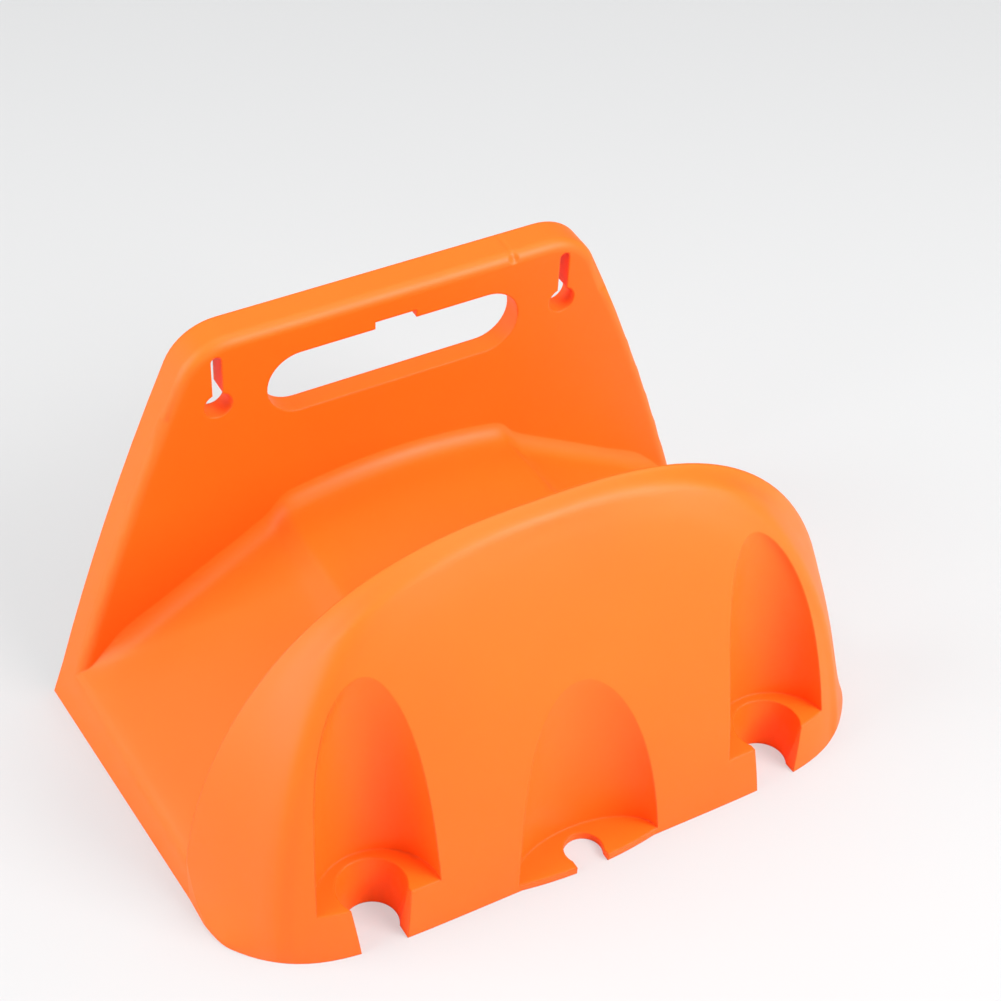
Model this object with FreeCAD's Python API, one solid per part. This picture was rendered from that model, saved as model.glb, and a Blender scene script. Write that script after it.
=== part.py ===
import FreeCAD, Part
import math
import os

# Wall hose hanger, one moulded piece of polypropylene.  All sizes in mm.
# Own frame: the front looks along -Y and +Z is up.  The origin lies on the front
# face of the back plate, midway between the round openings of the two keyholes,
# where the screw heads bear.  The part is drawn with the wall as the plane y = 0
# and moved into its own frame at the end.

V = FreeCAD.Vector

# Wall thickness of the moulding
wall = 2.8

# Lower rim: one flat plane that rises a little towards the front
rim_below_screws = 123.7
rim_rise_deg = 3.97

# Back plate that stands against the wall
plate_depth = 13.6
plate_top = 26.0
plate_top_half_width = 73.4
plate_corner_radius = 20.5
plate_side_bulge = 3.0
plate_bulge_across = 0.935
plate_bulge_up = 0.350
plate_skirt = 12.0
plate_skirt_slope = 0.27
plate_edge_radius = 4.0
plate_step_in = 0.6

# Saddle that carries the coiled hose
base_half_width = 130.3
front_half_width = 124.5
band_height = 17.0
band_lean_wall = 5.9
band_lean_front = 1.6
roll_radius = 8.0
slope_deg = 30.0
plateau_height = 72.5
plateau_arch_radius = 190.0
plateau_half_wall = 45.5
plateau_half_front = 50.0
step_softness = 1.5
plate_cove_radius = 8.0
front_cove_radius = 9.0
cove_fade_start = 24.0
cove_fade_end = 9.0

# Hollow front part that keeps the hose on the saddle
front_rear_y = 113.0
front_depth = 48.65
front_top = 15.3
front_outline_half = 125.75
front_end_flat = 1.25
outline_power = 2.675
face_lean_deg = 5.1
face_radius = 250.0
face_side_fall = 0.64
face_side_fall_power = 7.5
face_side_fall_spread = 4.8
side_draft_deg = 22.0
top_draft_deg = 29.0
rim_flare_deg = 16.0
rim_flare_height = 12.0
ridge_sharpness = 5.0
solid_top_height = 9.0
hollow_side_inset = 3.8
hollow_side_power = 3.6
hollow_top_power = 60.0

# Hand slot in the back plate, with a small notch in its upper edge
slot_half_length = 48.1
slot_half_height = 12.6
slot_centre_z = -0.3
notch_half_width = 7.8
notch_height = 3.0
collar_depth = 8.0
collar_wall = 2.4

# Keyhole openings for the two fixing screws
screw_half_spacing = 65.85
screw_head_radius = 5.1
screw_neck_half_width = 1.9
screw_neck_top = 20.6

# Outer clip recesses
clip_x = 76.3
clip_ledge_height = 20.5
scoop_low_radius = 21.0
scoop_low_y = 156.5
scoop_high_radius = 17.5
scoop_high_y = 148.3
scoop_high_z = -10.0
bore_y = 150.6
bore_top_radius = 11.8
bore_low_radius = 9.4
mouth_top_half_width = 10.2
mouth_low_half_width = 8.0

# Middle clip recess with its thin lip
middle_low_half_width = 27.0
middle_low_depth = 14.4
middle_low_y = 161.4
middle_high_half_width = 22.0
middle_high_depth = 15.5
middle_high_y = 159.5
middle_high_z = -35.0
lip_thickness = 3.0
lip_half_width = 27.6
lip_front_y = 164.0
lip_corner_y = 161.3
lip_hole_y = 157.5
lip_hole_radius = 6.8
lip_mouth_half_width = 6.0

# Stiffening ribs under the saddle
rib_thickness = 2.2
rib_places = (-92.0, -48.0, 0.0, 48.0, 92.0)
rib_above_rim = 14.0

overlap = 1.0
reach = 400.0
rise = math.tan(math.radians(rim_rise_deg))


def rim_z(y):
    """Height of the lower rim plane at the depth y."""
    return -rim_below_screws - y * rise


def below_rim(lift):
    """Big block filling everything below the rim plane moved up by lift."""
    a = V(-reach, reach, rim_z(reach) + lift)
    b = V(-reach, -reach, rim_z(-reach) + lift)
    c = V(-reach, -reach, -2 * reach)
    d = V(-reach, reach, -2 * reach)
    return Part.Face(Part.makePolygon([a, b, c, d, a])).extrude(V(2 * reach, 0, 0))


def closed_solid(faces):
    """Turn faces that share their edges into one solid."""
    shell = Part.makeShell(faces)
    shell.sewShape()
    solid = Part.makeSolid(shell)
    if solid.Volume < 0:
        solid.reverse()
    return solid


def curve_through(points, places):
    """Smooth curve through points at given parameter places."""
    curve = Part.BSplineCurve()
    curve.interpolate(Points=points, Parameters=places)
    return curve


def lengths_along(points):
    """Parameter places that follow the length along a row of points."""
    places = [0.0]
    for p, q in zip(points, points[1:]):
        places.append(places[-1] + (q - p).Length)
    return [place / places[-1] for place in places]


def smooth_skin(grid, across, along):
    """Smooth surface through a grid, across its rows and along its columns."""
    rows = [curve_through(row, along) for row in grid]
    columns = []
    for poles in zip(*[row.getPoles() for row in rows]):
        columns.append(curve_through(list(poles), across))
    poles = [list(row) for row in zip(*[column.getPoles() for column in columns])]
    surface = Part.BSplineSurface()
    surface.buildFromPolesMultsKnots(
        poles, columns[0].getMultiplicities(), rows[0].getMultiplicities(),
        columns[0].getKnots(), rows[0].getKnots(), False, False, 3, 3)
    return surface.toShape()


def line(p, q):
    """Straight edge between two points."""
    return Part.makeLine(p, q)


def end_point(edge, axis, side):
    """The end of an edge that lies furthest along an axis on a given side."""
    ends = [edge.Vertexes[0].Point, edge.Vertexes[-1].Point]
    return max(ends, key=lambda p: side * p[axis])


# The back plate

def plate_outline(inset):
    """Closed outline of the back plate on the wall, moved in by inset."""
    low = base_half_width - plate_step_in - inset
    high = plate_top_half_width - inset * 0.75
    top = plate_top - inset
    floor = rim_z(0)
    mid_x = 0.5 * (low + high) + plate_side_bulge * plate_bulge_across
    mid_z = 0.5 * (floor + top) + plate_side_bulge * plate_bulge_up
    under = floor - plate_skirt
    drop = low + plate_skirt * plate_skirt_slope
    right = Part.Arc(V(low, 0, floor), V(mid_x, 0, mid_z), V(high, 0, top)).toShape()
    left = Part.Arc(V(-high, 0, top), V(-mid_x, 0, mid_z), V(-low, 0, floor)).toShape()
    edges = [
        line(V(-drop, 0, under), V(drop, 0, under)),
        line(V(drop, 0, under), V(low, 0, floor)),
        right,
        line(V(high, 0, top), V(-high, 0, top)),
        left,
        line(V(-low, 0, floor), V(-drop, 0, under)),
    ]
    return Part.Face(Part.Wire(edges))


def plate_block(inset, start_y, end_y, edge_radius):
    """Back plate as a full block between two depths."""
    face = plate_outline(inset)
    face.translate(V(0, -start_y, 0))
    block = face.extrude(V(0, start_y - end_y, 0))
    top = plate_top - inset
    corners = []
    for edge in block.Edges:
        box = edge.BoundBox
        if box.ZLength < 0.01 and box.XLength < 0.01 and abs(box.ZMax - top) < 0.01:
            corners.append(edge)
    block = block.makeFillet(plate_corner_radius - inset, corners)
    if edge_radius > 0:
        front = []
        for edge in block.Edges:
            box = edge.BoundBox
            on_front = abs(box.YMin + end_y) < 0.01 and box.YLength < 0.01
            if on_front and box.ZMax > rim_z(0) - 5:
                front.append(edge)
        block = block.makeFillet(edge_radius, front)
    return block.cut(below_rim(-overlap if inset > 0 else 0.0))


# The saddle

def share_forward(y):
    """0 at the wall and 1 at the rear of the front part."""
    return -y / front_rear_y


def top_height(x, y, inset):
    """Height of the saddle above the rim plane, without the coves."""
    half = base_half_width + (front_half_width - base_half_width) * share_forward(y)
    lean = band_lean_wall + (band_lean_front - band_lean_wall) * share_forward(y)
    half_step = plateau_half_wall + (plateau_half_front - plateau_half_wall) * share_forward(y)
    corner = half - lean
    side = band_height + (corner - abs(x)) * math.tan(math.radians(slope_deg))
    middle = plateau_height - x * x / (2 * plateau_arch_radius)
    blend = 1.0 / (1.0 + math.exp((abs(x) - half_step) / step_softness))
    return blend * middle + (1.0 - blend) * side - inset


def saddle_half_profile(y, raised):
    """Right half of one cross section, from the rim up to the middle."""
    half = base_half_width + (front_half_width - base_half_width) * share_forward(y)
    lean = band_lean_wall + (band_lean_front - band_lean_wall) * share_forward(y)
    half_step = plateau_half_wall + (plateau_half_front - plateau_half_wall) * share_forward(y)
    slope = math.radians(slope_deg)
    band = math.atan2(band_height, -lean)
    up = math.pi - slope
    turn = up - band
    radius = roll_radius
    reach_in = radius * math.tan(turn / 2)
    corner_x = half - lean
    corner_h = top_height(corner_x, y, 0.0)
    foot_x = corner_x + corner_h / math.tan(math.pi - band)
    start_x = corner_x - reach_in * math.cos(band)
    start_h = corner_h - reach_in * math.sin(band)
    points = []
    for k in range(3):
        share = k / 3.0
        points.append((foot_x + (start_x - foot_x) * share, start_h * share))
    centre_x = start_x - radius * math.sin(band)
    centre_h = start_h + radius * math.cos(band)
    for k in range(5):
        angle = band - math.pi / 2 + turn * k / 5.0
        points.append((centre_x + radius * math.cos(angle), centre_h + radius * math.sin(angle)))
    slope_start = corner_x + reach_in * math.cos(up)
    near = half_step + 8.0
    far = half_step - 8.0
    xs = [slope_start + (near - slope_start) * k / 5.0 for k in range(5)]
    xs += [near + (far - near) * k / 10.0 for k in range(10)]
    xs += [far * (1.0 - k / 4.0) for k in range(5)]
    for x in xs:
        fade = (half - cove_fade_end - x) / (cove_fade_start - cove_fade_end)
        fade = min(1.0, max(0.0, fade))
        fade = fade * fade * (3 - 2 * fade)
        points.append((x, top_height(x, y, 0.0) + raised * fade))
    return points


def hollow_profile(y, inset, lower):
    """Cross section of the space under the saddle, straight with an arched top."""
    half = base_half_width + (front_half_width - base_half_width) * share_forward(y)
    lean = band_lean_wall + (band_lean_front - band_lean_wall) * share_forward(y)
    half_step = plateau_half_wall + (plateau_half_front - plateau_half_wall) * share_forward(y)
    floor = rim_z(y)
    corner_x = half - lean - 1.4 * inset
    foot_x = half - inset + lower * lean / band_height
    outer_x = half_step + 2 * step_softness - 0.5 * inset
    inner_x = half_step - 2 * step_softness - 0.5 * inset
    right = [
        V(foot_x, y, floor - lower),
        V(corner_x, y, floor + top_height(corner_x, y, inset) - 0.6),
        V(outer_x, y, floor + top_height(outer_x, y, inset)),
        V(inner_x, y, floor + top_height(inner_x, y, inset)),
    ]
    left = [V(-p.x, p.y, p.z) for p in reversed(right)]
    crown = V(0, y, floor + top_height(0, y, inset))
    edges = [line(p, q) for p, q in zip(right, right[1:])]
    edges.append(Part.Arc(right[-1], crown, left[0]).toShape())
    edges += [line(p, q) for p, q in zip(left, left[1:])]
    edges.append(line(left[-1], right[0]))
    return Part.Wire(edges)


def saddle_hollow(start_y, end_y, inset, lower):
    """Space under the saddle between two depths."""
    sections = [hollow_profile(start_y, inset, lower), hollow_profile(end_y, inset, lower)]
    return Part.makeLoft(sections, True, True)


def saddle_rows():
    """Depths of the cross sections with the rise of the coves at each."""
    steep = math.radians(75)
    inner = 2.5
    rows = []
    circle = plate_cove_radius
    full = (circle + inner) * (1 - math.cos(steep))
    back = -plate_depth + inner * math.sin(steep)
    for share in (0.0, 0.5, 0.85):
        rows.append((back * share, full))
    for k in range(3):
        angle = steep * k / 3.0
        rows.append((back - inner * math.sin(angle), full - inner * (1 - math.cos(angle))))
    for k in range(6):
        angle = steep * (1 - k / 5.0)
        depth = circle * (math.sin(steep) - math.sin(angle))
        rows.append((-plate_depth - depth, circle * (1 - math.cos(angle))))
    first = rows[-1][0]
    circle = front_cove_radius
    last = -front_rear_y + circle * math.sin(steep)
    for k in range(1, 6):
        rows.append((first + (last - first) * k / 6.0, 0.0))
    for k in range(6):
        angle = steep * k / 5.0
        rows.append((last - circle * math.sin(angle), circle * (1 - math.cos(angle))))
    rows.append((-front_rear_y - 1.6, circle * (1 - math.cos(steep)) + 1.6 * math.tan(steep)))
    return rows


def saddle_block():
    """The saddle as a full block from the wall into the front part."""
    grid = []
    for y, raised in saddle_rows():
        floor = rim_z(y)
        row = [V(x, y, floor + h) for x, h in saddle_half_profile(y, raised)]
        mirror = [V(-p.x, p.y, p.z) for p in reversed(row[:-1])]
        grid.append(row + mirror)
    middle = [row[len(row) // 2] for row in grid]
    skin = smooth_skin(grid, lengths_along(middle), lengths_along(grid[len(grid) // 2]))
    near = [e for e in skin.Edges if e.BoundBox.YLength < 0.01]
    near.sort(key=lambda e: e.BoundBox.YMax)
    sides = [e for e in skin.Edges if e.BoundBox.YLength > 1.0]
    faces = [skin]
    for edge in near:
        low = line(end_point(edge, 0, 1), end_point(edge, 0, -1))
        faces.append(Part.Face(Part.Wire([edge, low])))
    faces.append(Part.makeRuledSurface(sides[0], sides[1]))
    return closed_solid(faces)


# The hollow front part

def outline_height(x, half, height):
    """Height of the front part above its foot at the place x."""
    return height * math.sqrt(1.0 - (abs(x) / half) ** outline_power)


def sideways_share(x, up, half):
    """0 straight above the middle of the foot and 1 straight beside it."""
    out = abs(x) / half
    return out / math.hypot(out, max(up, 1e-6))


def face_depth(z):
    """Depth of the curved front face before it falls back at the sides."""
    above = z - rim_z(-front_rear_y - front_depth)
    depth = front_depth - above * math.tan(math.radians(face_lean_deg))
    return depth - above * above / (2 * face_radius)


def side_share(x, z, half, height):
    """Share of that depth which is left where the face falls back."""
    up = max(0.0, (z - rim_z(-front_rear_y)) / height)
    gauge = min(1.0, (abs(x) / half) ** outline_power + up * up)
    fall = gauge ** (face_side_fall_power / outline_power)
    fall = fall * sideways_share(x, up, half) ** face_side_fall_spread
    return 1.0 - face_side_fall * fall


def band_depth(x, z, half, height):
    """Depth of the drafted band that runs around the outline."""
    foot = rim_z(-front_rear_y)
    up = min(0.9999, max(0.0, (z - foot) / height))
    beside = half * (1.0 - up * up) ** (1.0 / outline_power) - abs(x)
    over = foot + outline_height(x, half, height) - z
    beside = max(beside, 0.001)
    over = max(over, 0.001)
    from_edge = beside * over / math.hypot(beside, over)
    side = sideways_share(x, up, half) ** 2
    above = max(0.0, z - rim_z(-front_rear_y - front_depth))
    draft = top_draft_deg + (side_draft_deg - top_draft_deg) * side
    draft = draft - rim_flare_deg * side * math.exp(-above / rim_flare_height)
    return from_edge / math.tan(math.radians(draft))


def front_reach(x, z, half, height):
    """Depth of the front part at a place of its front view."""
    face = face_depth(z) * side_share(x, z, half, height)
    band = band_depth(x, z, half, height)
    sum_both = face ** -ridge_sharpness + band ** -ridge_sharpness
    return sum_both ** (-1.0 / ridge_sharpness)


def hollow_reach(x, z, half, height):
    """Depth of the space inside the front part at a place of its front view."""
    up = max(0.0, (z - rim_z(-front_rear_y)) / height)
    gauge = min(1.0, (abs(x) / half) ** outline_power + up * up)
    side = sideways_share(x, up, half) ** 1.5
    power = 1.0 / (side / hollow_side_power + 1.0 / hollow_top_power)
    return (face_depth(z) - 2 * wall) * math.sqrt(1.0 - gauge ** (power / 2))


def front_block(inset, lower):
    """Front part as a full block, moved in by inset."""
    rear = -front_rear_y - inset
    half = front_outline_half - inset
    ends = half - front_end_flat
    height = front_top - rim_z(-front_rear_y)
    start = 0.12
    depth_at = front_reach
    if inset > 0:
        half = half - hollow_side_inset
        ends = half - front_end_flat
        height = height - solid_top_height
        start = 0.0
        depth_at = hollow_reach
    foot = rim_z(-front_rear_y)
    grid = []
    count = 34
    rows = 18
    for i in range(count + 1):
        x = -ends * math.cos(math.pi * i / count)
        top = foot + outline_height(x, half, height)
        low = foot
        for step in range(12):
            low = rim_z(rear - depth_at(x, low, half, height)) - lower
        column = []
        for j in range(rows + 1):
            share = start * j / rows + (1.0 - start) * (j / rows) ** 2
            z = top + (low - top) * share
            column.append(V(x, rear - depth_at(x, z, half, height), z))
        column[0] = V(x, rear, top)
        grid.append(column)
    across = [i / count for i in range(count + 1)]
    along = [j / rows for j in range(rows + 1)]
    skin = smooth_skin(grid, across, along)
    arch = [e for e in skin.Edges if e.BoundBox.YLength < 0.01 and e.BoundBox.XLength > 9]
    ends_edges = [e for e in skin.Edges if e.BoundBox.XLength < 0.01]
    bottom = [e for e in skin.Edges if e.BoundBox.XLength > 9 and e.BoundBox.YLength > 1]
    floor_z = rim_z(rear) - lower
    right = V(ends, rear, floor_z)
    left = V(-ends, rear, floor_z)
    back_low = line(left, right)
    faces = [skin]
    lows = []
    uprights = []
    for edge in ends_edges:
        corner = right if edge.BoundBox.XMin > 0 else left
        tip = end_point(edge, 1, -1)
        peak = end_point(edge, 2, 1)
        low_edge = line(tip, corner)
        upright = line(corner, peak)
        lows.append(low_edge)
        uprights.append(upright)
        faces.append(Part.Face(Part.Wire(Part.__sortEdges__([edge, low_edge, upright]))))
    faces.append(Part.Face(Part.Wire(Part.__sortEdges__(arch + uprights + [back_low]))))
    faces.append(Part.Face(Part.Wire(Part.__sortEdges__(bottom + lows + [back_low]))))
    return closed_solid(faces)


# Openings of the back plate

def stadium(half_length, half_height, centre_z):
    """Long opening with fully round ends, as a face on the wall."""
    straight = half_length - half_height
    right = V(straight, 0, centre_z)
    high = V(0, 0, half_height)
    edges = [
        line(-right + V(0, 0, 2 * centre_z) + high, right + high),
        Part.Arc(right + high, right + V(half_height, 0, 0), right - high).toShape(),
        line(right - high, -right + V(0, 0, 2 * centre_z) - high),
        Part.Arc(-right + V(0, 0, 2 * centre_z) - high,
                 V(-half_length, 0, centre_z),
                 -right + V(0, 0, 2 * centre_z) + high).toShape(),
    ]
    return Part.Face(Part.Wire(edges))


def hand_slot(extra, start_y, end_y):
    """Hand slot with its notch, grown by extra, between two depths."""
    face = stadium(slot_half_length + extra, slot_half_height + extra, slot_centre_z)
    body = face.extrude(V(0, start_y - end_y, 0))
    wide = notch_half_width + extra
    tall = slot_half_height + notch_height + extra
    notch = Part.makeBox(2 * wide, end_y - start_y, tall)
    notch.translate(V(-wide, start_y - end_y, slot_centre_z))
    body = body.fuse(notch)
    body.translate(V(0, -start_y, 0))
    return body


def keyhole(side, extra, start_y, end_y):
    """Keyhole on one side, grown by extra, between two depths."""
    x = side * screw_half_spacing
    neck = screw_neck_half_width + extra
    top = screw_neck_top - screw_neck_half_width
    direction = V(0, -1, 0)
    depth = end_y - start_y
    head = Part.makeCylinder(screw_head_radius + extra, depth, V(x, -start_y, 0), direction)
    end = Part.makeCylinder(neck, depth, V(x, -start_y, top), direction)
    stem = Part.makeBox(2 * neck, depth, top)
    stem.translate(V(x - neck, -end_y, 0))
    return head.fuse([end, stem])


# Clip recesses of the front part

def tilted_circle(x, y, z, radius_x, radius_y):
    """Closed curve parallel to the rim plane, round or oval."""
    normal = V(0, rise, 1)
    if abs(radius_x - radius_y) < 1e-6:
        curve = Part.Circle(V(x, y, z), normal, radius_x)
    else:
        forward = V(0, -1, rise)
        forward.normalize()
        wide = V(x + radius_x, y, z)
        deep = V(x, y, z) + forward * radius_y
        curve = Part.Ellipse(wide, deep, V(x, y, z))
    return Part.Wire(curve.toShape())


def cone_between(low, high):
    """Solid between two closed curves."""
    return Part.makeLoft([low, high], True, True)


def outer_scoop(extra):
    """Hollow of an outer recess above its ledge, grown by extra."""
    low_y = -scoop_low_y
    low_z = rim_z(low_y) + clip_ledge_height - extra
    low = tilted_circle(clip_x, low_y, low_z, scoop_low_radius + extra, scoop_low_radius + extra)
    high_r = scoop_high_radius + extra
    high = tilted_circle(clip_x - 1.3, -scoop_high_y, scoop_high_z + extra, high_r, high_r)
    return cone_between(low, high)


def outer_bore(extra, lower):
    """Tapered round socket below the ledge, grown by extra."""
    y = -bore_y
    rate = (bore_top_radius - bore_low_radius) / clip_ledge_height
    high_z = clip_ledge_height + (overlap if extra == 0 else 0)
    high_r = bore_low_radius + rate * high_z + extra
    low_r = bore_low_radius - rate * lower + extra
    low = tilted_circle(clip_x, y, rim_z(y) - lower, low_r, low_r)
    high = tilted_circle(clip_x, y, rim_z(y) + high_z, high_r, high_r)
    return cone_between(low, high)


def outer_mouth(extra, lower):
    """Tapered gap from the socket to the front face, grown by extra."""
    rate = (mouth_top_half_width - mouth_low_half_width) / clip_ledge_height
    high_z = clip_ledge_height + (overlap if extra == 0 else 0)
    wires = []
    for h in (-lower, high_z):
        half = mouth_low_half_width + rate * h + extra
        back = -bore_y
        front = -bore_y - 25.0
        points = [
            V(clip_x - half, back, rim_z(back) + h),
            V(clip_x + half, back, rim_z(back) + h),
            V(clip_x + half, front, rim_z(front) + h),
            V(clip_x - half, front, rim_z(front) + h),
        ]
        wires.append(Part.makePolygon(points + points[:1]))
    return cone_between(wires[0], wires[1])


def middle_scoop(extra, lower):
    """Hollow of the middle recess above the lip, grown by extra."""
    low_y = -middle_low_y
    low_z = rim_z(low_y) + lip_thickness - lower
    low = tilted_circle(0, low_y, low_z, middle_low_half_width + extra, middle_low_depth + extra)
    high = tilted_circle(0, -middle_high_y, middle_high_z + extra,
                         middle_high_half_width + extra, middle_high_depth + extra)
    return cone_between(low, high)


def middle_lip():
    """Thin lip that closes the middle recess at the rim."""
    back = -(middle_low_y - middle_low_depth - wall / 2)
    corner = -lip_corner_y
    front = -lip_front_y
    points = [
        V(-lip_half_width, back, rim_z(back)),
        V(-lip_half_width, corner, rim_z(corner)),
        V(0, front, rim_z(front)),
        V(lip_half_width, corner, rim_z(corner)),
        V(lip_half_width, back, rim_z(back)),
    ]
    edges = [
        line(points[4], points[0]),
        line(points[0], points[1]),
        Part.Arc(points[1], points[2], points[3]).toShape(),
        line(points[3], points[4]),
    ]
    return Part.Face(Part.Wire(edges)).extrude(V(0, 0, lip_thickness))


def lip_opening():
    """Round hole of the lip with its open mouth."""
    low = rim_z(-lip_hole_y) - 5
    hole = Part.makeCylinder(lip_hole_radius, 5 + lip_thickness + 3, V(0, -lip_hole_y, low))
    mouth = Part.makeBox(2 * lip_mouth_half_width, 30, 5 + lip_thickness + 3)
    mouth.translate(V(-lip_mouth_half_width, -lip_hole_y - 30, low))
    return hole.fuse(mouth)


def both_sides(shape):
    """The shape and its mirror image."""
    return [shape, shape.mirror(V(0, 0, 0), V(1, 0, 0))]


def ribs():
    """Ribs under the saddle, running from the plate to the front part."""
    made = []
    start = -plate_depth + wall / 2
    end = -front_rear_y - wall / 2
    under = saddle_hollow(1.0, end - 1.0, wall / 2, 0.0)
    for x in rib_places:
        box = Part.makeBox(rib_thickness, start - end, 2 * reach)
        box.translate(V(x - rib_thickness / 2, end, -reach))
        box = box.cut(below_rim(rib_above_rim))
        made.append(box.common(under))
    return made


def hanger_body():
    """The whole hanger as one solid."""
    plate = plate_block(0.0, 0.0, plate_depth, plate_edge_radius)
    saddle = saddle_block()
    front = front_block(0.0, 0.0)
    outer = plate.fuse([saddle, front])

    hollow_plate = plate_block(wall, -overlap, plate_depth - wall, 0.0)
    hollow_saddle = saddle_hollow(overlap, -front_rear_y - wall - overlap, wall, 6.0)
    hollow_front = front_block(wall, 6.0)
    body = outer.cut([hollow_plate, hollow_saddle, hollow_front])

    linings = []
    for lining in (outer_scoop(wall), outer_bore(wall, 0.0), outer_mouth(wall, 0.0)):
        linings += both_sides(lining)
    linings.append(middle_scoop(wall, lip_thickness))
    added = [lining.common(front) for lining in linings]
    added.append(middle_lip())
    collar_start = plate_depth - collar_depth
    added.append(hand_slot(collar_wall, collar_start, plate_depth - wall / 2))
    for side in (-1, 1):
        added.append(keyhole(side, collar_wall, collar_start, plate_depth - wall / 2))
    added += ribs()
    body = body.fuse(added)

    cuts = both_sides(outer_scoop(0.0))
    cuts += both_sides(outer_bore(0.0, overlap))
    cuts += both_sides(outer_mouth(0.0, overlap))
    cuts.append(middle_scoop(0.0, 0.0))
    cuts.append(lip_opening())
    cuts.append(hand_slot(0.0, -overlap, plate_depth + overlap))
    for side in (-1, 1):
        cuts.append(keyhole(side, 0.0, -overlap, plate_depth + overlap))
    body = body.cut(cuts).removeSplitter()
    body.translate(V(0, plate_depth, 0))
    return body


def main():
    """Build the part and write it."""
    os.makedirs("parts", exist_ok=True)
    shape = hanger_body()
    if len(shape.Solids) == 1:
        shape = shape.Solids[0]
    shape.exportStep("parts/hanger_body.step")


main()
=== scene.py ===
import logging
import math
from dataclasses import dataclass
from enum import Enum
from typing import Any

import bpy
from mathutils import Matrix, Vector


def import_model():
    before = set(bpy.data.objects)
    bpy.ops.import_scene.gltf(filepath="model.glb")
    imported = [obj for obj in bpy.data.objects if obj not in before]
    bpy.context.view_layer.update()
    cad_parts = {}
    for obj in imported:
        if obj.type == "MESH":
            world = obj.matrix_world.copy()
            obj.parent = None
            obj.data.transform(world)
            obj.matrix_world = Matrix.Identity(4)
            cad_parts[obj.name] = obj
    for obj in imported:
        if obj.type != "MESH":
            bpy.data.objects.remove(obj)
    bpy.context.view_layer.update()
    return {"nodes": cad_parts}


log = logging.getLogger("hose_hanger")

MM = 0.001
PICTURE_PX = 1001.0
SENSOR_MM = 36.0
EDGE_SAMPLES = 4

# Colour sockets of the Mix node, whose names repeat for each data type
MIX_A = 6
MIX_B = 7
MIX_RESULT = 2

# Height of the bead across its width, from one side over the crest to the other
CREST_STOPS = ((0.0, 0.0), (0.25, 0.05), (0.5, 1.0), (0.75, 0.05), (1.0, 0.0))

NodeTree = bpy.types.NodeTree
Node = bpy.types.Node
NodeSocket = bpy.types.NodeSocket
Material = bpy.types.Material
Object = bpy.types.Object


def linear(code: str) -> tuple[float, float, float, float]:
    """Turn an sRGB hex colour into the linear colour the shaders use.

    Args:
        code: colour such as "#F26A1B".

    Returns:
        Linear red, green, blue and an alpha of 1.
    """
    digits = code.lstrip("#")
    parts = [int(digits[i:i + 2], 16) / 255.0 for i in (0, 2, 4)]
    rgb = [c / 12.92 if c <= 0.04045 else ((c + 0.055) / 1.055) ** 2.4 for c in parts]
    return rgb[0], rgb[1], rgb[2], 1.0


class LampRole(Enum):
    """What each studio lamp does; the value is the lamp's name."""

    KEY = "softbox_right_front"
    RIM = "softbox_left_back"
    TOP = "softbox_top"
    FILL = "softbox_right_near"


@dataclass(frozen=True)
class Finish:
    """Look of one real material.

    Attributes:
        name: name of the material.
        base: main colour as sRGB hex.
        shade: second colour of the slow cloudy variation.
        cloud_mm: size of the clouds.
        roughness: middle roughness.
        roughness_swing: how far the roughness wanders.
        patch_mm: size of the patches in which it wanders.
        grain_mm: size of the fine moulding grain.
        grain_depth_mm: height of the grain.
        flow_mm: size of the slow waves left by the melt.
        flow_depth_mm: height of those waves.
        edge_mm: radius by which sharp edges are softened.
        ior: index of refraction.
        specular: strength of the surface reflection, 0.5 being the usual one.
        translucency: share of light scattered under the skin.
        scatter_mm: how deep red, green and blue light scatter.
    """

    name: str
    base: str
    shade: str
    cloud_mm: float
    roughness: float
    roughness_swing: float
    patch_mm: float
    grain_mm: float
    grain_depth_mm: float
    flow_mm: float
    flow_depth_mm: float
    edge_mm: float
    ior: float
    specular: float
    translucency: float
    scatter_mm: tuple[float, float, float]


@dataclass(frozen=True)
class Bead:
    """Soft raised line that runs beside the upper edge of the front part.

    Its path is where (|x| / half_width)^power + (height / rise)^2 is 1.

    Attributes:
        half_width_mm: distance of the path from the middle at the foot.
        rise_mm: height of the path above the foot.
        foot_mm: height of the foot in the part's frame.
        power: how square the path's shoulders are.
        width_mm: distance from the crest to where the relief has run out.
        depth_mm: height of the crest.
        front_mm: y in front of which the line exists.
        fade_mm: half the length over which it fades in there.
        least_slope: smallest slope of the level, which keeps clear of zero.
    """

    half_width_mm: float = 109.5
    rise_mm: float = 131.5
    foot_mm: float = -115.86
    power: float = 2.9
    width_mm: float = 9.0
    depth_mm: float = 3.2
    front_mm: float = -104.0
    fade_mm: float = 4.0
    least_slope: float = 0.001


@dataclass(frozen=True)
class GateMark:
    """Small dent where the melt entered the mould, on the plate's upper edge.

    Attributes:
        place_mm: x and z of its middle, seen from the front.
        radius_mm: radius at which it has run out.
        depth_mm: its depth.
    """

    place_mm: tuple[float, float] = (45.5, 24.3)
    radius_mm: float = 2.4
    depth_mm: float = 0.9


ORANGE_POLYPROPYLENE = Finish(
    name="orange_polypropylene_satin",
    base="#FB6610",
    shade="#F65F0C",
    cloud_mm=60.0,
    roughness=0.5,
    roughness_swing=0.05,
    patch_mm=18.0,
    grain_mm=0.35,
    grain_depth_mm=0.006,
    flow_mm=26.0,
    flow_depth_mm=0.05,
    edge_mm=1.1,
    ior=1.49,
    specular=0.32,
    translucency=0.06,
    scatter_mm=(2.0, 0.7, 0.24),
)


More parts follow.
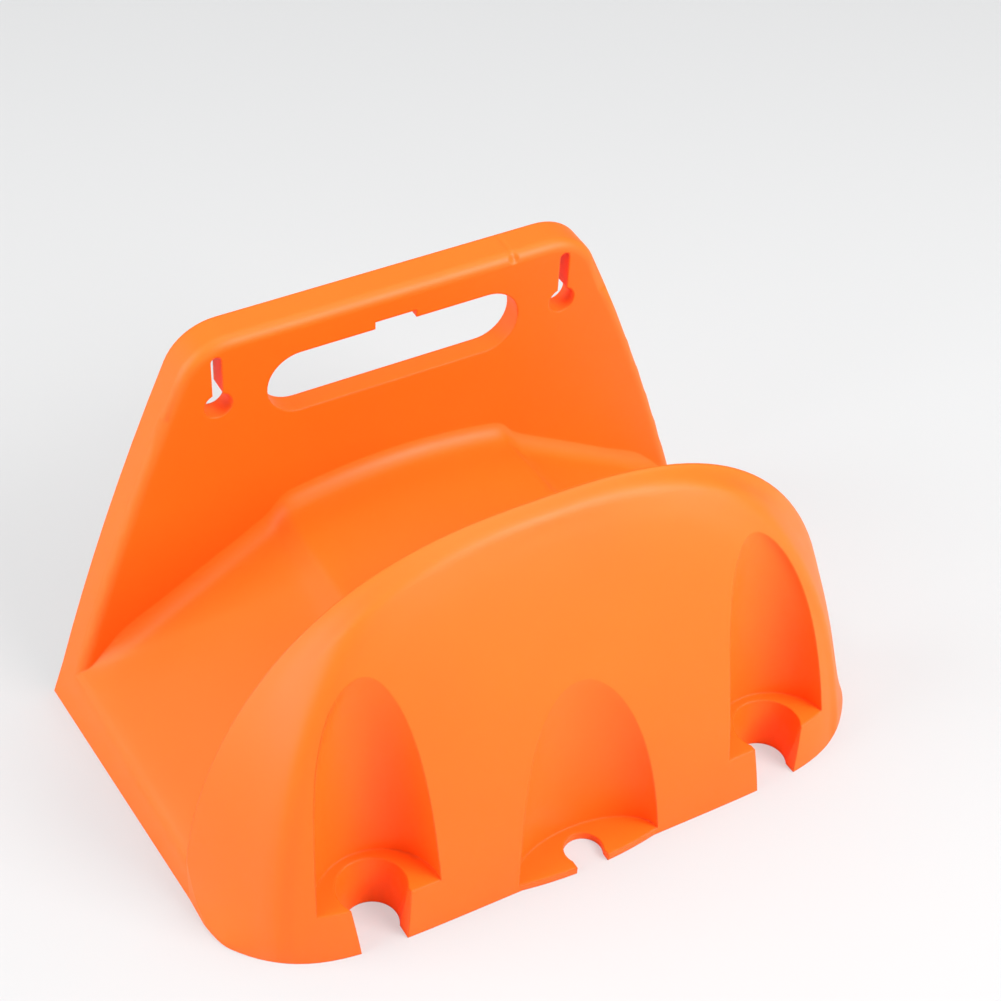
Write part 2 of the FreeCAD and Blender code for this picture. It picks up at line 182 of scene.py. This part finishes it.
def add_node(tree: NodeTree, kind: str, place: tuple[float, float], **values: Any) -> Node:
    """Add a shader node and set its inputs or settings.

    Args:
        tree: node tree that gets the node.
        kind: Blender's node type name.
        place: position in the node editor.
        values: node settings, or inputs with blanks written as underscores.

    Returns:
        The new node.
    """
    node = tree.nodes.new(kind)
    node.location = place
    for key, value in values.items():
        if hasattr(node, key):
            setattr(node, key, value)
        else:
            node.inputs[key.replace("_", " ")].default_value = value
    return node


def calc(tree: NodeTree, operation: str, *terms: float | NodeSocket) -> NodeSocket:
    """Add a Math node.

    Args:
        tree: node tree that gets the node.
        operation: Blender's name of the operation.
        terms: numbers, or sockets to link.

    Returns:
        Socket with the result.
    """
    node = add_node(tree, "ShaderNodeMath", (-1600, -200), operation=operation)
    for socket, term in zip(node.inputs, terms):
        if isinstance(term, (int, float)):
            socket.default_value = term
        else:
            tree.links.new(term, socket)
    return node.outputs["Value"]


def noise(tree: NodeTree, where: Node, height: float, size_mm: float, detail: float) -> NodeSocket:
    """Add a noise texture that lies on the part.

    Args:
        tree: node tree that gets the node.
        where: texture coordinate node.
        height: the node's place in the editor, up or down.
        size_mm: size of the pattern.
        detail: number of finer layers.

    Returns:
        Socket with the noise from 0 to 1.
    """
    scale = 1.0 / (size_mm * MM)
    node = add_node(tree, "ShaderNodeTexNoise", (-800, height), Scale=scale, Detail=detail)
    tree.links.new(where.outputs["Object"], node.inputs["Vector"])
    return node.outputs["Fac"]


def bump(tree: NodeTree, place: tuple[float, float], depth_mm: float,
         height: NodeSocket, normal: NodeSocket) -> NodeSocket:
    """Add relief on top of a normal.

    Args:
        tree: node tree that gets the node.
        place: position in the node editor.
        depth_mm: how high the relief stands where its height is 1.
        height: socket with the relief.
        normal: socket with the normal below it.

    Returns:
        Socket with the new normal.
    """
    node = add_node(tree, "ShaderNodeBump", place, Strength=1.0, Distance=depth_mm * MM)
    tree.links.new(height, node.inputs["Height"])
    tree.links.new(normal, node.inputs["Normal"])
    return node.outputs["Normal"]


class MouldedPlastic:
    """Builds the procedural material of a moulded plastic part."""

    def __init__(self, finish: Finish, bead: Bead, gate: GateMark) -> None:
        """Keep the finish and the two small features.

        Args:
            finish: the look to build.
            bead: the soft line beside the front part's upper edge.
            gate: the dent left by the mould's gate.
        """
        self.finish = finish
        self.bead = bead
        self.gate = gate

    def bead_height(self, tree: NodeTree, where: Node) -> NodeSocket:
        """Work out the bead's relief from the place on the part.

        Args:
            tree: node tree of the material.
            where: texture coordinate node.

        Returns:
            Socket with the relief in millimetres.
        """
        bead = self.bead
        axes = add_node(tree, "ShaderNodeSeparateXYZ", (-1900, -200))
        tree.links.new(where.outputs["Object"], axes.inputs["Vector"])
        x, y, z = axes.outputs
        across = calc(tree, "DIVIDE", calc(tree, "ABSOLUTE", x), bead.half_width_mm * MM)
        above = calc(tree, "SUBTRACT", z, bead.foot_mm * MM)
        above = calc(tree, "DIVIDE", above, bead.rise_mm * MM)
        sides = calc(tree, "POWER", across, bead.power)
        level = calc(tree, "ADD", sides, calc(tree, "MULTIPLY", above, above))
        # Dividing by the slope of the level turns it into millimetres from the path
        slope_across = calc(tree, "POWER", across, bead.power - 1.0)
        slope_across = calc(tree, "MULTIPLY", slope_across, bead.power / bead.half_width_mm)
        slope_above = calc(tree, "MULTIPLY", above, 2.0 / bead.rise_mm)
        square_across = calc(tree, "MULTIPLY", slope_across, slope_across)
        square_above = calc(tree, "MULTIPLY", slope_above, slope_above)
        slope = calc(tree, "SQRT", calc(tree, "ADD", square_across, square_above))
        steepness = calc(tree, "MAXIMUM", slope, bead.least_slope)
        outward = calc(tree, "DIVIDE", calc(tree, "SUBTRACT", level, 1.0), steepness)
        # One smooth crest that follows the path
        wave = add_node(tree, "ShaderNodeValToRGB", (-1200, -1100))
        wave.color_ramp.interpolation = "B_SPLINE"
        for _ in CREST_STOPS[1:-1]:
            wave.color_ramp.elements.new(0.5)
        for element, (place, value) in zip(wave.color_ramp.elements, CREST_STOPS):
            element.position = place
            element.color = (value, value, value, 1.0)
        span = add_node(tree, "ShaderNodeMapRange", (-1400, -1100))
        span.inputs["From Min"].default_value = -bead.width_mm
        span.inputs["From Max"].default_value = bead.width_mm
        tree.links.new(outward, span.inputs["Value"])
        tree.links.new(span.outputs["Result"], wave.inputs["Fac"])
        # The line fades out behind the front part
        fade = add_node(tree, "ShaderNodeMapRange", (-1400, -1400))
        fade.interpolation_type = "SMOOTHSTEP"
        fade.inputs["From Min"].default_value = (bead.front_mm + bead.fade_mm) * MM
        fade.inputs["From Max"].default_value = (bead.front_mm - bead.fade_mm) * MM
        tree.links.new(y, fade.inputs["Value"])
        crest = calc(tree, "MULTIPLY", wave.outputs["Color"], fade.outputs["Result"])
        return calc(tree, "MULTIPLY", crest, bead.depth_mm)

    def gate_depth(self, tree: NodeTree, where: Node) -> NodeSocket:
        """Work out the gate mark's relief from the place on the part.

        Args:
            tree: node tree of the material.
            where: texture coordinate node.

        Returns:
            Socket with the relief in millimetres, below zero in the dent.
        """
        gate = self.gate
        # Distance in the plate's plane, seen from the front
        flat = add_node(tree, "ShaderNodeVectorMath", (-1900, -1700), operation="MULTIPLY")
        flat.inputs[1].default_value = (1.0, 0.0, 1.0)
        tree.links.new(where.outputs["Object"], flat.inputs[0])
        away = add_node(tree, "ShaderNodeVectorMath", (-1700, -1700), operation="DISTANCE")
        away.inputs[1].default_value = (gate.place_mm[0] * MM, 0.0, gate.place_mm[1] * MM)
        tree.links.new(flat.outputs["Vector"], away.inputs[0])
        dent = add_node(tree, "ShaderNodeMapRange", (-1500, -1700))
        dent.interpolation_type = "SMOOTHSTEP"
        dent.inputs["From Max"].default_value = gate.radius_mm * MM
        dent.inputs["To Min"].default_value = -gate.depth_mm
        dent.inputs["To Max"].default_value = 0.0
        tree.links.new(away.outputs["Value"], dent.inputs["Value"])
        return dent.outputs["Result"]

    def build(self) -> Material:
        """Make the material.

        Returns:
            The finished material.
        """
        finish = self.finish
        material = bpy.data.materials.new(finish.name)
        material.use_nodes = True
        tree = material.node_tree
        tree.nodes.clear()
        link = tree.links.new
        output = add_node(tree, "ShaderNodeOutputMaterial", (900, 0))
        shader = add_node(tree, "ShaderNodeBsdfPrincipled", (600, 0))
        shader.inputs["IOR"].default_value = finish.ior
        shader.inputs["Specular IOR Level"].default_value = finish.specular
        shader.inputs["Subsurface Weight"].default_value = finish.translucency
        shader.inputs["Subsurface Radius"].default_value = finish.scatter_mm
        shader.inputs["Subsurface Scale"].default_value = MM
        link(shader.outputs["BSDF"], output.inputs["Surface"])
        where = add_node(tree, "ShaderNodeTexCoord", (-1100, 0))

        # Slow cloudy change of colour, as the pigment spreads in the melt
        cloud = noise(tree, where, 300, finish.cloud_mm, 2.0)
        colours = add_node(tree, "ShaderNodeMix", (-300, 300), data_type="RGBA")
        colours.inputs[MIX_A].default_value = linear(finish.base)
        colours.inputs[MIX_B].default_value = linear(finish.shade)
        link(cloud, colours.inputs["Factor"])
        link(colours.outputs[MIX_RESULT], shader.inputs["Base Color"])

        # Roughness wanders a little around its middle value
        patch = noise(tree, where, 0, finish.patch_mm, 3.0)
        spread = add_node(tree, "ShaderNodeMapRange", (-300, 0))
        spread.inputs["To Min"].default_value = finish.roughness - finish.roughness_swing
        spread.inputs["To Max"].default_value = finish.roughness + finish.roughness_swing
        link(patch, spread.inputs["Value"])
        link(spread.outputs["Result"], shader.inputs["Roughness"])

        # Softened edges, the bead and gate mark, slow sink marks and the mould's grain
        soft = add_node(tree, "ShaderNodeBevel", (-600, -700), samples=EDGE_SAMPLES)
        soft.inputs["Radius"].default_value = finish.edge_mm * MM
        flow = noise(tree, where, -300, finish.flow_mm, 1.0)
        grain = noise(tree, where, -500, finish.grain_mm, 2.0)
        relief = calc(tree, "ADD", self.bead_height(tree, where), self.gate_depth(tree, where))
        line = bump(tree, (-500, -900), 1.0, relief, soft.outputs["Normal"])
        waves = bump(tree, (-300, -400), finish.flow_depth_mm, flow, line)
        fine = bump(tree, (0, -400), finish.grain_depth_mm, grain, waves)
        link(fine, shader.inputs["Normal"])
        return material


@dataclass
class HangerBody:
    """The one moulded piece of the hose hanger.

    Attributes:
        node: the CAD node that gives its form.
        finish: its material.
        bead: the soft line beside the front part's upper edge.
        gate: the dent left by the mould's gate.
    """

    node: Object
    finish: Finish = ORANGE_POLYPROPYLENE
    bead: Bead = Bead()
    gate: GateMark = GateMark()

    def dress(self) -> Object:
        """Give the node its material.

        Returns:
            The dressed object.
        """
        material = MouldedPlastic(self.finish, self.bead, self.gate).build()
        self.node.data.materials.clear()
        self.node.data.materials.append(material)
        log.info("dressed %s in %s", self.node.name, material.name)
        return self.node


@dataclass(frozen=True)
class Lamp:
    """One soft studio lamp.

    Attributes:
        role: what the lamp does.
        place_mm: position in the part's frame.
        size_mm: side of its square face.
        power: power in watts.
        colour: light colour as sRGB hex.
        aim_mm: point it looks at.
    """

    role: LampRole
    place_mm: tuple[float, float, float]
    size_mm: float
    power: float
    colour: str = "#FFFFFF"
    aim_mm: tuple[float, float, float] = (0.0, -90.0, -60.0)


LAMPS = (
    Lamp(LampRole.KEY, (550.0, -950.0, 850.0), 700.0, 22.0),
    Lamp(LampRole.RIM, (-1000.0, 120.0, 400.0), 950.0, 15.5),
    Lamp(LampRole.TOP, (100.0, 100.0, 1100.0), 900.0, 6.5),
    Lamp(LampRole.FILL, (420.0, -380.0, 330.0), 450.0, 1.4, aim_mm=(100.0, 0.0, 30.0)),
)


@dataclass
class Studio:
    """Floor, lamps, surroundings and camera.

    Attributes:
        rim_below_mm: depth of the lower rim plane below the origin.
        rim_rise_deg: how far the rim plane rises towards the front.
        focal_px: focal length in pixels of the picture.
        camera_mm: camera position.
        azimuth: viewing direction round the part, in degrees.
        elevation: viewing direction above the horizon, in degrees.
        roll: turn of the camera about its own axis, in degrees.
        floor_half_mm: distance from the middle of the floor to its edges.
        floor_colour: the floor's colour as sRGB hex.
        floor_roughness: roughness of its paper.
        floor_specular: strength of its reflection.
        tone_strength: strength of the pale tone that the floor adds by itself.
        tone_share: share of that tone where the camera sees the floor.
        surround_colour: the surroundings' colour as sRGB hex.
        surround_light: strength of the surroundings as light.
        surround_seen: strength of the surroundings where the camera sees them.
        lamps: the lamps.
    """

    rim_below_mm: float = 122.80
    rim_rise_deg: float = 3.97
    focal_px: float = 2194.8
    camera_mm: tuple[float, float, float] = (-267.60, -517.21, 483.18)
    azimuth: float = 31.216
    elevation: float = 43.463
    roll: float = 3.637
    floor_half_mm: float = 1600.0
    floor_colour: str = "#BBBBBB"
    floor_roughness: float = 0.9
    floor_specular: float = 0.1
    tone_strength: float = 0.93
    tone_share: float = 0.5
    surround_colour: str = "#F8F9FA"
    surround_light: float = 0.42
    surround_seen: float = 0.95
    lamps: tuple[Lamp, ...] = LAMPS

    def floor(self) -> Object:
        """Lay the floor under the flat lower rim.

        Returns:
            The floor object.
        """
        size = self.floor_half_mm * MM
        rise = math.tan(math.radians(self.rim_rise_deg))
        drop = -self.rim_below_mm * MM
        corners = []
        for x, y in ((-1, 1), (1, 1), (1, -1), (-1, -1)):
            corners.append((x * size, y * size, drop - y * size * rise))
        mesh = bpy.data.meshes.new("floor")
        mesh.from_pydata(corners, [], [(3, 2, 1, 0)])
        mesh.update()
        floor = bpy.data.objects.new("floor", mesh)
        bpy.context.scene.collection.objects.link(floor)
        material = bpy.data.materials.new("pale_paper_floor")
        material.use_nodes = True
        tree = material.node_tree
        shader = tree.nodes["Principled BSDF"]
        shader.inputs["Base Color"].default_value = linear(self.floor_colour)
        shader.inputs["Roughness"].default_value = self.floor_roughness
        shader.inputs["Specular IOR Level"].default_value = self.floor_specular
        # Seen directly, part of the floor is its own pale tone, so that it looks even
        tone = add_node(tree, "ShaderNodeEmission", (0, -300), Strength=self.tone_strength)
        tone.inputs["Color"].default_value = linear(self.surround_colour)
        rays = add_node(tree, "ShaderNodeLightPath", (-400, 300))
        share = add_node(tree, "ShaderNodeMapRange", (-100, 300))
        share.inputs["To Max"].default_value = self.tone_share
        mixed = add_node(tree, "ShaderNodeMixShader", (300, 0))
        output = tree.nodes["Material Output"]
        link = tree.links.new
        link(rays.outputs["Is Camera Ray"], share.inputs["Value"])
        link(share.outputs["Result"], mixed.inputs["Fac"])
        link(shader.outputs["BSDF"], mixed.inputs[1])
        link(tone.outputs["Emission"], mixed.inputs[2])
        link(mixed.outputs["Shader"], output.inputs["Surface"])
        mesh.materials.append(material)
        return floor

    def light(self) -> None:
        """Hang the lamps and set the surroundings."""
        for lamp in self.lamps:
            name = lamp.role.value
            data = bpy.data.lights.new(name, "AREA")
            data.shape = "SQUARE"
            data.size = lamp.size_mm * MM
            data.energy = lamp.power
            data.color = linear(lamp.colour)[:3]
            obj = bpy.data.objects.new(name, data)
            place = Vector(lamp.place_mm) * MM
            aim = Vector(lamp.aim_mm) * MM
            obj.location = place
            obj.rotation_euler = (aim - place).to_track_quat("-Z", "Y").to_euler()
            bpy.context.scene.collection.objects.link(obj)
        world = bpy.data.worlds.new("studio")
        world.use_nodes = True
        shade = world.node_tree.nodes["Background"]
        shade.inputs["Color"].default_value = linear(self.surround_colour)
        # Seen directly the surroundings are nearly white; as light they are weaker
        rays = add_node(world.node_tree, "ShaderNodeLightPath", (-600, 0))
        strength = add_node(world.node_tree, "ShaderNodeMapRange", (-300, 0))
        strength.inputs["To Min"].default_value = self.surround_light
        strength.inputs["To Max"].default_value = self.surround_seen
        world.node_tree.links.new(rays.outputs["Is Camera Ray"], strength.inputs["Value"])
        world.node_tree.links.new(strength.outputs["Result"], shade.inputs["Strength"])
        bpy.context.scene.world = world

    def camera(self) -> Object:
        """Set up the camera at the photograph's angle.

        Returns:
            The camera object.
        """
        az = math.radians(self.azimuth)
        el = math.radians(self.elevation)
        ro = math.radians(self.roll)
        level = math.cos(el)
        back = Vector((-math.sin(az) * level, -math.cos(az) * level, math.sin(el)))
        right = Vector((math.cos(az), -math.sin(az), 0.0))
        up = back.cross(right)
        turned_right = right * math.cos(ro) + up * math.sin(ro)
        turned_up = up * math.cos(ro) - right * math.sin(ro)
        data = bpy.data.cameras.new("camera")
        data.sensor_width = SENSOR_MM
        data.lens = SENSOR_MM * self.focal_px / PICTURE_PX
        camera = bpy.data.objects.new("camera", data)
        axes = Matrix((turned_right, turned_up, back)).transposed()
        camera.matrix_world = Matrix.Translation(Vector(self.camera_mm) * MM) @ axes.to_4x4()
        bpy.context.scene.collection.objects.link(camera)
        bpy.context.scene.camera = camera
        return camera


def main() -> None:
    """Dress the part and set up the studio."""
    logging.basicConfig(level=logging.INFO)
    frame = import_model()
    HangerBody(frame["nodes"]["hanger_body"]).dress()
    studio = Studio()
    studio.floor()
    studio.light()
    studio.camera()
    bpy.context.scene.view_settings.view_transform = "Standard"


if __name__ == "__main__":
    main()
